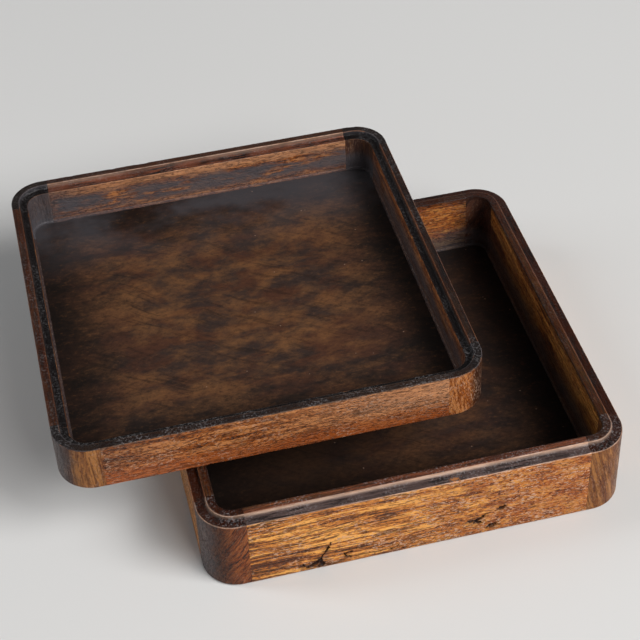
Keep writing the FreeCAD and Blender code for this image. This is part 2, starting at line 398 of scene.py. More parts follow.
def rub_arrises(mesh, half, wear):
    """Rubs back and knocks the arrises, and notes how pale each vertex near them is painted, for
    rubbing and for painted highlight.
    """
    worn = mesh.verts.layers.float.new("worn")
    arrises = arrises_of(half)
    for vert in mesh.verts:
        width, height, out = half.place(vert.co)
        for at_width, at_height, sideways, upward, reach, pale in arrises:
            apart = math.hypot(width - at_width, height - at_height)
            if apart >= reach:
                continue
            weight = 1 - apart / reach
            rub = 0.5 + 0.5 * noise.noise(vert.co / RUB_SIZE)
            knock = ease(noise.noise(vert.co / CHIP_SIZE + half.centre / MM), CHIP_FROM, CHIP_TO)
            depth = weight * (wear.rub * rub + wear.chip * knock)
            vert[worn] = pale * min(1.0, PALE_GAIN * weight)
            vert.co += (out * sideways + UP * upward).normalized() * depth


def add_object(name, data):
    made = bpy.data.objects.new(name, data)
    bpy.context.scene.collection.objects.link(made)
    return made


def mesh_object(mesh, name):
    """Turns a finished mesh into an object."""
    data = bpy.data.meshes.new(name)
    mesh.to_mesh(data)
    mesh.free()
    return add_object(name, data)


def finish_mesh(mesh, name):
    """Smooth shading that stays sharp at the square edges."""
    bmesh.ops.recalc_face_normals(mesh, faces=mesh.faces)
    for face in mesh.faces:
        face.smooth = True
    for edge in mesh.edges:
        edge.smooth = len(edge.link_faces) == 2 and edge.calc_face_angle() < SMOOTH_ANGLE
    return mesh_object(mesh, name)


def frame_piece(half, node, shape, quarters, settings, extra=None):
    """Makes one board or corner block in its place, and puts it in the CAD node's stead."""
    section, wear = settings.ink_box_section, settings.ink_box_wear
    mesh = bmesh.new()
    shape(mesh, half)
    caps = cap_ends(mesh)
    groove_seams(caps, wear.groove)
    for cap in caps:
        sink_slot(mesh, half, cap, section.slot_depth, section.slot_gap)
    turn = Matrix.Rotation(quarters * QUARTER_TURN, 3, "Z")
    bmesh.ops.rotate(mesh, verts=mesh.verts, cent=half.centre, matrix=turn)
    if extra:
        extra(mesh, half, wear)
    rub_arrises(mesh, half, wear)
    piece = finish_mesh(mesh, f"{node}_worn")
    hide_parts(node)
    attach(piece, half.name)
    return piece


# Cracks, pits and knocks

CRACK_CELL = 0.25 * MM
CRACK_MARGIN = 1.2 * MM

# Points along each crack in the base's front board: right of its middle, up, half width.
CRACKS = (
    ((-38.3, 15.4, 0.12), (-39.3, 13.0, 0.30), (-40.4, 10.8, 0.60), (-41.5, 9.0, 0.28),
     (-42.5, 7.4, 0.40), (-43.2, 5.8, 0.85), (-44.6, 4.3, 1.30), (-46.9, 3.0, 0.90),
     (-49.2, 2.2, 0.35)),
    ((-43.3, 5.6, 0.60), (-42.7, 4.0, 1.25), (-42.0, 2.4, 1.00), (-44.0, 1.9, 0.90)),
    ((-32.7, 6.3, 0.45), (-32.3, 4.6, 0.65), (-30.6, 3.5, 0.35)),
    ((-32.5, 6.4, 0.30), (-31.0, 6.6, 0.45), (-29.6, 6.9, 0.20)),
    ((19.4, 9.2, 0.25), (21.6, 9.0, 0.70), (23.0, 8.9, 1.35), (24.0, 9.7, 1.00),
     (26.2, 10.9, 0.65), (28.6, 12.2, 0.25)),
    ((23.2, 8.5, 0.90), (24.8, 7.5, 0.80), (26.2, 7.2, 0.25)),
    ((31.8, 12.9, 0.20), (34.2, 14.1, 0.85), (35.8, 14.6, 0.45)),
    ((27.6, 2.9, 0.30), (29.6, 4.4, 0.85), (31.8, 4.9, 0.50)),
    ((29.4, 3.0, 0.25), (31.2, 3.7, 0.55), (33.4, 3.9, 0.25)),
)
# Middle and half width of each small pit, measured the same way.
PITS = (
    (-50.4, 3.9, 0.70), (-49.6, 12.6, 0.25), (-27.9, 8.3, 0.35), (-13.2, 3.2, 0.50),
    (-10.3, 4.6, 0.40), (-7.6, 1.9, 0.45), (33.2, 5.9, 0.30),
)
# The dark stain beside a crack: its reach in the crack's half widths, and its share
STAIN_REACH = 2.6
STAIN = 0.35
# How dark a crack's edge is, and how fast it gets darker and deeper inward
DARK_AT_EDGE = 0.5
STEEPNESS = 1.5
WOBBLE_SIZE = 1.1 * MM
WOBBLE = 0.75 * MM
# Fixes the wobble, which would otherwise change with the clock
WOBBLE_SEED = 1795601265


def crack_share(across, up):
    """How deep in a crack or pit a point of the front board's face lies: 1 in its middle, 0 at its
    edge, and less than 0 beside it."""
    deepest = -STAIN_REACH
    wobble = noise.noise_vector(Vector((across, up, 0)) / WOBBLE_SIZE) * WOBBLE
    point = Vector((across, up)) + wobble.xy
    for path in CRACKS:
        for (x0, z0, w0), (x1, z1, w1) in zip(path, path[1:]):
            start, end = Vector((x0, z0)) * MM, Vector((x1, z1)) * MM
            run = end - start
            t = min(max((point - start).dot(run) / run.length_squared, 0), 1)
            width = (w0 + (w1 - w0) * t) * MM
            deepest = max(deepest, 1 - (point - start - run * t).length / width)
    for x, z, width in PITS:
        deepest = max(deepest, 1 - (point - Vector((x, z)) * MM).length / (width * MM))
    return deepest


def crack_front_board(mesh, half, wear):
    """Opens the cracks and pits low on the front board's outer face."""
    noise.seed_set(WOBBLE_SEED)
    groups = [[(x, z) for x, z, _ in path] for path in (*CRACKS, *((pit,) for pit in PITS))]
    for low_x, high_x, high_z in join_windows(groups):
        refine(mesh, half, low_x, high_x, high_z)
    cracked = mesh.verts.layers.float.new("crack")
    behind_face = half.centre.y - half.half_side + LOWER_GUARD
    for vert in mesh.verts:
        if vert.co.y > behind_face:
            continue
        deep = crack_share(vert.co.x - half.centre.x, vert.co.z - half.centre.z)
        stain = STAIN * ease(deep, -STAIN_REACH, 0)
        vert[cracked] = max(stain, min(1, DARK_AT_EDGE + STEEPNESS * deep))
        if deep > 0:
            vert.co.y += wear.crack * min(1, STEEPNESS * deep)


def join_windows(groups):
    """Stretches of the board's length that hold the cracks, joined where they overlap."""
    spans = sorted(
        (min(x for x, _ in group) * MM - CRACK_MARGIN, max(x for x, _ in group) * MM + CRACK_MARGIN,
         max(z for _, z in group) * MM + CRACK_MARGIN)
        for group in groups
    )
    joined = [spans[0]]
    for low_x, high_x, high_z in spans[1:]:
        last = joined[-1]
        if low_x > last[1]:
            joined.append((low_x, high_x, high_z))
        else:
            joined[-1] = (last[0], max(last[1], high_x), max(last[2], high_z))
    return joined


def region(faces):
    """Faces with their vertices and edges."""
    edges = dict.fromkeys(edge for face in faces for edge in face.edges)
    return verts_of(faces) + list(edges) + faces


def refine(mesh, half, low_x, high_x, high_z):
    """Cuts a stretch of the front board's outer face into small cells."""

    def middle(face):
        return face.calc_center_median() - half.centre

    geometry = region([
        face for face in mesh.faces
        if middle(face).y < MERGE - half.half_side and low_x < middle(face).x < high_x
    ])
    height = LOWER_GUARD
    while height < high_z:
        geometry = cut(mesh, geometry, half.centre + UP * height, UP)
        height += CRACK_CELL
    geometry = region([face for face in only(BMFace, geometry) if middle(face).z < high_z])
    across = low_x
    while across < high_x:
        geometry = cut(mesh, geometry, half.centre + RIGHT * across, RIGHT)
        across += CRACK_CELL


# Node trees


class Tree:
    """Adds nodes to one material or group, and links them as it goes."""

    def __init__(self, tree):
        self.tree = tree

    def node(self, kind, **settings):
        made = self.tree.nodes.new(kind)
        for key, value in settings.items():
            setattr(made, key, value)
        return made

    def feed(self, socket, value):
        if isinstance(value, bpy.types.NodeSocket):
            self.tree.links.new(value, socket)
        elif hasattr(socket.default_value, "__len__") and len(socket.default_value) > len(value):
            socket.default_value = (*value, 1)
        else:
            socket.default_value = value

    def math(self, operation, *values, clamp=False):
        made = self.node("ShaderNodeMath", operation=operation, use_clamp=clamp)
        for socket, value in zip(made.inputs, values):
            self.feed(socket, value)
        return made.outputs[0]

    def times(self, first, *factors):
        for factor in factors:
            first = self.math("MULTIPLY", first, factor)
        return first

    def plus(self, first, second):
        return self.math("ADD", first, second)

    def minus(self, first, second):
        return self.math("SUBTRACT", first, second)

    def vector(self, operation, *values):
        made = self.node("ShaderNodeVectorMath", operation=operation)
        for socket, value in zip(made.inputs, values):
            self.feed(socket, value)
        return made.outputs["Value" if operation == "LENGTH" else "Vector"]

    def ramp(self, value, low, high, start=0.0, end=1.0):
        """Eases from start to end as the value goes from low to high."""
        made = self.node("ShaderNodeMapRange", interpolation_type="SMOOTHSTEP")
        limits = {"From Min": low, "From Max": high, "To Min": start, "To Max": end, "Value": value}
        for name, number in limits.items():
            self.feed(made.inputs[name], number)
        return made.outputs["Result"]

    def blend(self, factor, first, second):
        made = self.node("ShaderNodeMix", data_type="RGBA", clamp_factor=True)
        for name, value in (("Factor", factor), (6, first), (7, second)):
            self.feed(made.inputs[name], value)
        return made.outputs[2]

    def noise(self, place, sizes, detail=2.0, roughness=0.5):
        """Smooth noise whose features are about the given sizes along each axis. Sizes are in
        millimetres, or in metres from a socket."""
        if not isinstance(sizes, bpy.types.NodeSocket):
            sizes = tuple(size * MM for size in sizes)
        made = self.node("ShaderNodeTexNoise", noise_dimensions="3D")
        self.feed(made.inputs["Vector"], self.vector("DIVIDE", place, sizes))
        for name, value in (("Scale", 1), ("Detail", detail), ("Roughness", roughness)):
            made.inputs[name].default_value = value
        return made.outputs["Fac"]

    def cloud(self, place, size, detail=2.0, roughness=0.5):
        """Noise of the same size along each axis."""
        return self.noise(place, (size, size, size), detail, roughness)

    def fibres(self, place, long, wide, detail=2.0, roughness=0.5):
        """Noise drawn out along the grain."""
        return self.noise(place, (long, wide, wide), detail, roughness)

    def bands(self, place, long, width, detail=2.0, roughness=0.5):
        """Fibres whose width, in metres, comes from a socket."""
        return self.noise(place, self.together(long * MM, width, width), detail, roughness)

    def mix(self, *parts):
        """Adds up noises, each less its middle value and times its share."""
        total = 0.0
        for noise_value, amount in parts:
            total = self.math("MULTIPLY_ADD", self.minus(noise_value, 0.5), amount, total)
        return total

    def group(self, group, **values):
        made = self.node("ShaderNodeGroup", node_tree=group)
        for name, value in values.items():
            self.feed(made.inputs[name.replace("_", " ").title()], value)
        return made.outputs

    def mapping(self, place, turn, shift=(0, 0, 0)):
        made = self.node("ShaderNodeMapping", vector_type="POINT")
        self.feed(made.inputs["Vector"], place)
        made.inputs["Rotation"].default_value = turn
        made.inputs["Location"].default_value = shift
        return made.outputs[0]

    def bump(self, height, strength, distance):
        made = self.node("ShaderNodeBump")
        made.inputs["Strength"].default_value = strength
        made.inputs["Distance"].default_value = distance
        self.feed(made.inputs["Height"], height)
        return made.outputs[0]

    def attribute(self, name):
        return self.node("ShaderNodeAttribute", attribute_name=name).outputs["Fac"]

    def axes(self, vector):
        made = self.node("ShaderNodeSeparateXYZ")
        self.feed(made.inputs[0], vector)
        return made.outputs

    def together(self, x, y, z):
        made = self.node("ShaderNodeCombineXYZ")
        for socket, value in zip(made.inputs, (x, y, z)):
            self.feed(socket, value)
        return made.outputs[0]


class Layers:
    """A colour that more colours are laid over, each by one amount or by several multiplied."""

    def __init__(self, tree, ground):
        self.tree = tree
        self.colour = ground

    def lay(self, tint, *amounts):
        self.colour = self.tree.blend(self.tree.times(*amounts), self.colour, tint)


def new_group(name, vectors=(), floats=()):
    """A shader node group with named inputs."""
    group = bpy.data.node_groups.new(name, "ShaderNodeTree")
    for kind, labels in (("Vector", vectors), ("Float", floats)):
        for label in labels:
            group.interface.new_socket(label, in_out="INPUT", socket_type=f"NodeSocket{kind}")
    tree = Tree(group)
    return group, tree, tree.node("NodeGroupInput").outputs


def give_out(group, tree, **values):
    """Gives a group its outputs, one number each."""
    labels = {key: key.replace("_", " ").title() for key in values}
    for label in labels.values():
        group.interface.new_socket(label, in_out="OUTPUT", socket_type="NodeSocketFloat")
    outputs = tree.node("NodeGroupOutput").inputs
    for key, value in values.items():
        tree.feed(outputs[labels[key]], value)
    return group


def section_group():
    """How far in from the box's side, and how high above its outer face, a point lies."""
    group, tree, entry = new_group("Box Section", ("Place", "Centre"), ("Half Side", "Radius"))
    from_centre = tree.vector("SUBTRACT", entry["Place"], entry["Centre"])
    x, y, z = tree.axes(tree.vector("ABSOLUTE", from_centre))
    straight = tree.minus(entry["Half Side"], entry["Radius"])
    past = [tree.minus(side, straight) for side in (x, y)]
    corner = tree.vector("LENGTH", tree.together(*(tree.math("MAXIMUM", p, 0.0) for p in past), 0.0))
    flat = tree.math("MINIMUM", tree.math("MAXIMUM", *past), 0.0)
    width = tree.minus(entry["Radius"], tree.plus(corner, flat))
    return give_out(group, tree, width=width, height=z)


# Shifts, in metres, to a place where the same noise reads differently
ASIDE = (0.31, 0.17, 0.23)
PANEL_ASIDE = (0.41, 0.29, 0.07)


def grain_group():
    """Streaked hardwood. X runs along the grain, in metres, and Figure breaks the grain up."""
    group, tree, entry = new_group("Wood Grain", ("Place",), ("Band Width", "Wave", "Figure"))
    place, width, figure = entry["Place"], entry["Band Width"], entry["Figure"]
    slow_bend = tree.fibres(place, 50, 14, detail=1)
    quick_bend = tree.fibres(place, 8, 4)
    slow_sway = tree.times(tree.minus(slow_bend, 0.5), entry["Wave"])
    quick_wave = tree.plus(0.6 * MM, tree.times(figure, 3.2 * MM))
    sway = tree.plus(slow_sway, tree.times(tree.minus(quick_bend, 0.5), quick_wave))
    place = tree.vector("ADD", place, tree.together(0.0, sway, sway))
    aside = tree.vector("ADD", place, ASIDE)

    band = tree.bands(place, 60, width, 4, 0.65)
    broad = tree.bands(place, 45, tree.times(width, 4.5))
    streak = tree.fibres(aside, 26, 0.95, 2, 0.6)
    blotch = tree.fibres(place, 13, 5, 3, 0.6)
    grit = tree.fibres(aside, 2.0, 0.75, 3, 0.75)
    straight = tree.mix((band, 0.75), (broad, 0.5), (streak, 0.55), (grit, 0.35))
    broken = tree.mix((band, 0.45), (blotch, 0.85), (streak, 0.25), (grit, 0.8))
    streaked = tree.times(straight, tree.minus(1.0, figure))
    tone = tree.plus(tree.plus(streaked, tree.times(broken, figure)), 0.5)

    long_pores = tree.ramp(tree.fibres(place, 18, 0.85, 2, 0.6), 0.54, 0.62)
    short_pores = tree.ramp(tree.fibres(place, 4.0, 0.75, 2, 0.6), 0.56, 0.64, 0.0, 0.8)
    grit_pores = tree.ramp(grit, 0.36, 0.46, 0.7, 0.0)
    pores = tree.times(long_pores, tree.minus(1.0, tree.times(figure, 0.8)))
    pores = tree.math("MAXIMUM", tree.math("MAXIMUM", pores, short_pores), grit_pores)

    fleck_noise = tree.fibres(aside, 1.7, 0.7, 2, 0.65)
    crowds = tree.ramp(tree.fibres(aside, 18, 8), 0.40, 0.62, 0.15, 1.0)
    crowding = tree.plus(crowds, tree.times(figure, 0.3))
    flecks = tree.math("MULTIPLY", tree.ramp(fleck_noise, 0.54, 0.62), crowding, clamp=True)
    relief = tree.minus(tree.times(tree.fibres(place, 6, 0.5), 0.6), pores)
    return give_out(group, tree, tone=tone, pores=pores, flecks=flecks, relief=relief)


RIM_EDGE = 0.25 * MM
RUBBED_STEP = 0.8 * MM
DARK_INNER_EDGE = 1.1 * MM


def rim_group():
    """Which part of the half's section a point lies on."""
    floats = ("Width", "Height", "Outer Top", "Inner Top", "Step", "Wall", "Floor")
    group, tree, entry = new_group("Rim Zones", floats=floats)
    width, height = entry["Width"], entry["Height"]
    low = tree.math("MINIMUM", entry["Outer Top"], entry["Inner Top"])
    high = tree.math("MAXIMUM", entry["Outer Top"], entry["Inner Top"])
    to_wall = tree.minus(entry["Wall"], width)
    above = tree.ramp(tree.minus(height, tree.minus(low, RIM_EDGE)), 0.0, RIM_EDGE)
    from_outside = tree.ramp(width, 0.0, 0.12 * MM)
    from_inside = tree.ramp(to_wall, -0.05 * MM, 0.05 * MM)
    across = tree.math("ABSOLUTE", tree.minus(width, entry["Step"]))
    rise = tree.math("DIVIDE", tree.minus(height, low), tree.minus(high, low))
    near_step = tree.ramp(across, 0.1 * MM, RUBBED_STEP, 1.0, 0.0)
    return give_out(
        group, tree,
        rim=tree.times(above, tree.times(from_outside, from_inside)),
        raised=tree.ramp(tree.minus(high, height), 0.3 * MM, 1.0 * MM, 1.0, 0.0),
        riser=tree.times(near_step, tree.ramp(rise, 0.1, 0.65, 0.12, 1.0), above),
        crest=tree.ramp(rise, 0.65, 0.95),
        inside=tree.ramp(tree.minus(width, entry["Wall"]), -0.2 * MM, -0.05 * MM),
        inner_edge=tree.ramp(to_wall, 0.2 * MM, DARK_INNER_EDGE, 0.6, 0.0),
        above_floor=tree.minus(height, entry["Floor"]),
    )


FIGURE_LEAN = math.radians(32)
SPECK_SPACING = 8 * MM


def mottle_group():
    """The clouded figure of the wide panels, in metres. X runs along the grain."""
    group, tree, entry = new_group("Panel Mottle", ("Place",))
    swirl = tree.fibres(entry["Place"], 70, 50)
    sway = tree.times(tree.minus(swirl, 0.5), 24 * MM)
    place = tree.vector("ADD", entry["Place"], tree.together(0.0, sway, 0.0))
    near = tree.fibres(place, 15, 8, 6, 0.60)
    far = tree.fibres(place, 70, 45, 1)
    cloudy = tree.plus(tree.times(near, 0.62), tree.times(far, 0.38))
    red = tree.fibres(tree.vector("ADD", place, PANEL_ASIDE), 22, 12, 5, 0.62)
    line_noise = tree.fibres(tree.mapping(place, (0, 0, FIGURE_LEAN)), 26, 2.0, 4, 0.6)
    speck = tree.node("ShaderNodeTexVoronoi", feature="F1")
    tree.feed(speck.inputs["Vector"], tree.vector("DIVIDE", entry["Place"], (SPECK_SPACING,) * 3))
    speck.inputs["Scale"].default_value = 1
    return give_out(
        group, tree,
        warm=tree.ramp(cloudy, 0.41, 0.63),
        red=tree.ramp(red, 0.42, 0.62),
        lines=tree.ramp(line_noise, 0.53, 0.68),
        specks=tree.ramp(speck.outputs["Distance"], 0.03, 0.05, 1.0, 0.0),
        relief=tree.fibres(entry["Place"], 2.4, 1.4, 4, 0.75),
    )


GROUPS = {"section": section_group, "grain": grain_group, "rim": rim_group, "mottle": mottle_group}
made_groups = {}


def shared(name):
    """A shared node group, built the first time that it is asked for."""
    if name not in made_groups:
        made_groups[name] = GROUPS[name]()
    return made_groups[name]


# Woods

ALONG_X = (0.0, 0.0, 0.0)
ALONG_Y = (0.0, 0.0, -QUARTER_TURN)
UPRIGHT = (0.0, QUARTER_TURN, 0.0)
# How far each seed slides the grain, in metres
FRESH_WOOD = (0.37, 0.11, 0.23)


def new_material(name):
    material = bpy.data.materials.new(name)
    material.use_nodes = True
    material.node_tree.nodes.clear()
    tree = Tree(material.node_tree)
    shader = tree.node("ShaderNodeBsdfPrincipled")
    output = tree.node("ShaderNodeOutputMaterial")
    tree.feed(output.inputs["Surface"], shader.outputs["BSDF"])
    place = tree.node("ShaderNodeTexCoord").outputs["Object"]
    return material, tree, shader, place


def section_place(tree, place, half):
    """The width and height sockets of a point of one half."""
    return tree.group(
        shared("section"), place=place, centre=tuple(half.centre), half_side=half.half_side,
        radius=half.radius,
    )


def grain_place(tree, place, turn, seed):
    """Turns the grain's X axis along the piece, and slides it to a fresh bit of wood."""
    return tree.mapping(place, turn, tuple(part * seed for part in FRESH_WOOD))


def off_middle(tree, place, half):
    """How far right of the half's middle a point is."""
    return tree.minus(tree.axes(place)[0], half.centre.x)


def upright(tilt):
    """Upright grain, leaning to the right by some degrees."""
    return (0.0, QUARTER_TURN + math.radians(tilt), 0.0)


def finer_to_the_right(tree, place):
    """Straight and streaked at the left end of the base's front board, broken up at the right."""
    return tree.ramp(tree.axes(place)[0], -25 * MM, 55 * MM, 0.0, 1.0)


def patch(half, tint, most, along=None, bend=None, up=None, ragged=5, inside=False):
    """A ragged patch of another colour. It comes in from the first to the second of two distances
    in millimetres: along X from the half's middle, from the middle to either side, or up from the
    panel's face. It can be kept to the inside of the walls."""
    def shade(tree, place, zones):
        off = off_middle(tree, place, half)
        cloudy = tree.noise(place, (14, 9, 7), 4, 0.6)
        edge = tree.times(tree.minus(cloudy, 0.5), 2 * ragged * MM)
        measures = ((off, along), (tree.math("ABSOLUTE", off), bend), (zones["Above Floor"], up))
        amount = tree.times(zones["Inside"], most) if inside else most
        for measure, limits in measures:
            if limits:
                first, second = (limit * MM for limit in limits)
                amount = tree.times(tree.ramp(tree.plus(measure, edge), first, second), amount)
        return amount, tint
    return shade


class Rim:
    """How the rim of one piece is coloured: its low ledge, its raised part, how pale the face of its
    step, its arrises and its inner arris are painted and to what colour, partly for rubbing and partly
    as painted highlight, and how many specks of painted glint it has. Left is the share of that
    paleness at the left end, where the painted highlight is weakest."""

    def __init__(self, ledge, raised, rubbed, riser=0.3, pale=0.5, left=1.0, inner=0.3, painted_glints=0.2):
        self.ledge = ledge
        self.raised = raised
        self.rubbed = rubbed
        self.riser = riser
        self.pale = pale
        self.left = left
        self.inner = inner
        self.painted_glints = painted_glints


# The front pieces get pale steps and arrises, partly rubbed wear and partly painted highlight where
# they face the light; the other sides get a darker worn red. The front's grey ledge is painted sheen.
def base_rim(woods, side):
    if side == "front":
        colours = woods.ledge_sheen, woods.rim_tan, woods.rubbed
        return Rim(*colours, riser=1.0, pale=0.95, left=0.4, inner=0.05)
    if "front" in side:
        colours = woods.rim_red, woods.rim_red, woods.rubbed
        return Rim(*colours, riser=0.45, pale=0.6, inner=0.2, painted_glints=0.28)
    colours = woods.rim_red, woods.rim_red, woods.worn_red
    return Rim(*colours, riser=0.45, pale=0.6, inner=0.25, painted_glints=0.05)


# The lid's back rim and inner arrises face the front and get pale paint, partly rubbed wear and partly
# painted highlight; its corners get blue-grey painted sheen on their arrises, and painted glints.
def lid_rim(woods, side):
    if side == "back":
        colours = woods.rim_tan, woods.rim_red, woods.rubbed
        return Rim(*colours, pale=0.9, left=0.6, inner=1.0, painted_glints=0.1)
    if side == "front":
        return Rim(woods.rim_black, woods.rim_black, woods.rubbed, riser=0.05, pale=0.14)
    if side == "left":
        colours = woods.rim_black, woods.rim_red, woods.worn_red
        return Rim(*colours, riser=0.15, pale=0.2, inner=0.0, painted_glints=0.1)
    if side == "right":
        colours = woods.rim_black, woods.rim_black, woods.worn_red
        return Rim(*colours, riser=0.45, pale=0.55, inner=0.4, painted_glints=0.1)
    return Rim(woods.rim_black, woods.rim_black, woods.bloom_and_sheen, riser=0.5, pale=0.8, painted_glints=0.18)


def three_tones(tree, tone, dark, middle, light):
    """Eases from dark through middle to light."""
    lower = tree.blend(tree.ramp(tone, 0.38, 0.47), dark, middle)
    return tree.blend(tree.ramp(tone, 0.49, 0.60), lower, light)


def rim_colour(tree, place, grain, surface, zones, rim, woods, speck_noise, rubbed_and_lit_there):
    """The rim's own colours: a dark ledge, a raised part, a pale step that is partly rubbed and partly
    painted highlight, and small specks of painted glint.
    """
    cloudy = tree.times(tree.ramp(tree.cloud(place, 20, 4, 0.65), 0.38, 0.62), 0.8)
    streak = tree.ramp(tree.fibres(grain, 15, 0.9, 3, 0.7), 0.42, 0.58)
    # On the base's front the ledge colour is a painted sheen of grey in clouds over the black.
    ledge = tree.blend(tree.math("MAXIMUM", cloudy, streak), woods.rim_black, rim.ledge)
    raised = tree.blend(tree.times(streak, 0.75), rim.raised, woods.rim_black)
    raised = tree.blend(0.05, raised, surface)
    layers = Layers(tree, tree.blend(zones["Raised"], ledge, raised))
    layers.lay(woods.rim_black, zones["Inner Edge"])
    # The step's pale paint: partly rubbed wear, partly painted highlight where the step faces the
    # front.
    wear = tree.ramp(tree.cloud(place, 34, 3, 0.6), 0.36, 0.60, 0.45, 1.0)
    crest_unrubbed_unlit = tree.times(zones["Crest"], tree.minus(1.0, rubbed_and_lit_there))
    layers.lay(rim.rubbed, zones["Riser"], wear, rim.riser, tree.minus(1.0, crest_unrubbed_unlit))
    # Painted glints: pale specks in clusters over the rim, standing in for highlights in its polish.
    clusters = tree.ramp(tree.cloud(place, 13, 3, 0.6), 0.40, 0.56)
    layers.lay(woods.glint, tree.ramp(speck_noise, 0.50, 0.64), clusters, rim.painted_glints)
    return layers.colour


def inner_haze(tree, place, zones, most, middle, spread):
    """Blue-grey in clouds round one height of the inner walls, and along their foot."""
    cloudy = tree.ramp(tree.noise(place, (26, 26, 7), 4, 0.62), 0.32, 0.54)
    from_middle = tree.math("ABSOLUTE", tree.minus(zones["Above Floor"], middle * MM))
    in_band = tree.ramp(from_middle, 0.3 * spread * MM, spread * MM, 1.0, 0.15)
    foot = tree.ramp(zones["Above Floor"], 0.8 * MM, 2.2 * MM, 0.7, 0.0)
    grey = tree.math("MAXIMUM", tree.times(cloudy, in_band), foot)
    return tree.times(grey, most, zones["Inside"])


def in_knock(tree, place, knock, speck_noise):
    """Share of fresh wood in a ragged knock, given as its middle and its reaches in millimetres."""
    middle, reaches = (tuple(size * MM for size in sizes) for sizes in knock)
    apart = tree.vector("DIVIDE", tree.vector("SUBTRACT", place, middle), reaches)
    ragged = tree.minus(speck_noise, 0.5)
    edge = tree.math("MULTIPLY_ADD", ragged, 4.0, tree.vector("LENGTH", apart))
    return tree.ramp(edge, 0.4, 1.0, 0.85, 0.0)


def frame_wood(name, half, tones, woods, turn, seed, rim, band=2.0, wave=5, figure=0.0, pore=0.6,
               fleck=0.6, bloom_and_sheen=0.5, haze_at=3, haze_spread=9, shades=(), knock=None):
    """Semi-gloss old wood for a board or a corner block, dark on its rim, and pale at its edges from
    rubbing and painted highlight.
    """
    material, tree, shader, place = new_material(name)
    if callable(figure):
        figure = figure(tree, place)
    along_grain = grain_place(tree, place, turn, seed)
    grain = tree.group(
        shared("grain"), place=along_grain, band_width=band * MM, wave=wave * MM, figure=figure,
    )
    section = section_place(tree, place, half)
    zones = tree.group(
        shared("rim"), width=section["Width"], height=section["Height"], outer_top=half.outer_top,
        inner_top=half.inner_top, step=half.step, wall=half.wall, floor=half.floor,
    )
    layers = Layers(tree, three_tones(tree, grain["Tone"], *tones))
    for shade in shades:
        amount, tint = shade(tree, place, zones)
        layers.lay(tint, amount)
    layers.lay(woods.pore, grain["Pores"], pore)
    layers.lay(woods.fleck, grain["Flecks"], fleck)
    layers.lay(woods.bloom_and_sheen, inner_haze(tree, place, zones, bloom_and_sheen, haze_at, haze_spread))

    speck_noise = tree.cloud(place, 1.0, 3, 0.7)
    # Painted highlight: the rim's pale paint grows from its left share at the left end to full at the
    # right, where the light falls.
    rubbed_and_lit_there = tree.ramp(off_middle(tree, place, half), -half.seam, half.seam, rim.left, 1.0)
    painted = rim_colour(
        tree, place, along_grain, layers.colour, zones, rim, woods, speck_noise, rubbed_and_lit_there
    )
    layers.lay(painted, zones["Rim"])
    # Pale arrises: rubbed wear and painted highlight, the rim's paleness times each vertex's worn
    # weight.
    rub_noise = tree.ramp(tree.cloud(place, 5, 3, 0.65), 0.3, 0.62, 0.3, 1.0)
    rub = tree.times(tree.ramp(tree.attribute("worn"), 0.35, 0.9), rub_noise)
    fresh = tree.ramp(tree.cloud(place, 9, 3), 0.50, 0.63, 0.05, 0.7)
    rubbed = tree.blend(fresh, rim.rubbed, woods.bare)
    inner = tree.ramp(section["Width"], half.wall - 1.2 * MM, half.wall - 0.5 * MM, 1.0, rim.inner)
    layers.lay(rubbed, rub, tree.times(inner, tree.times(rubbed_and_lit_there, rim.pale)))
    if knock:
        layers.lay(woods.bare, in_knock(tree, place, knock, speck_noise))
    layers.lay(woods.pore, tree.attribute("crack"))
    tree.feed(shader.inputs["Base Color"], layers.colour)

    dull = tree.plus(0.33, tree.times(grain["Pores"], 0.22))
    glint = tree.times(tree.minus(speck_noise, 0.5), 0.5)
    dull = tree.plus(dull, tree.times(zones["Rim"], glint))
    tree.feed(shader.inputs["Roughness"], tree.minus(dull, tree.times(rub, 0.08)))
    relief = tree.plus(grain["Relief"], tree.times(speck_noise, zones["Rim"], 1.6))
    tree.feed(shader.inputs["Normal"], tree.bump(relief, 0.8, 0.2 * MM))
    shader.inputs["Specular IOR Level"].default_value = 0.15
    shader.inputs["Coat Weight"].default_value = 0.05
    shader.inputs["Coat Roughness"].default_value = 0.2
    return material


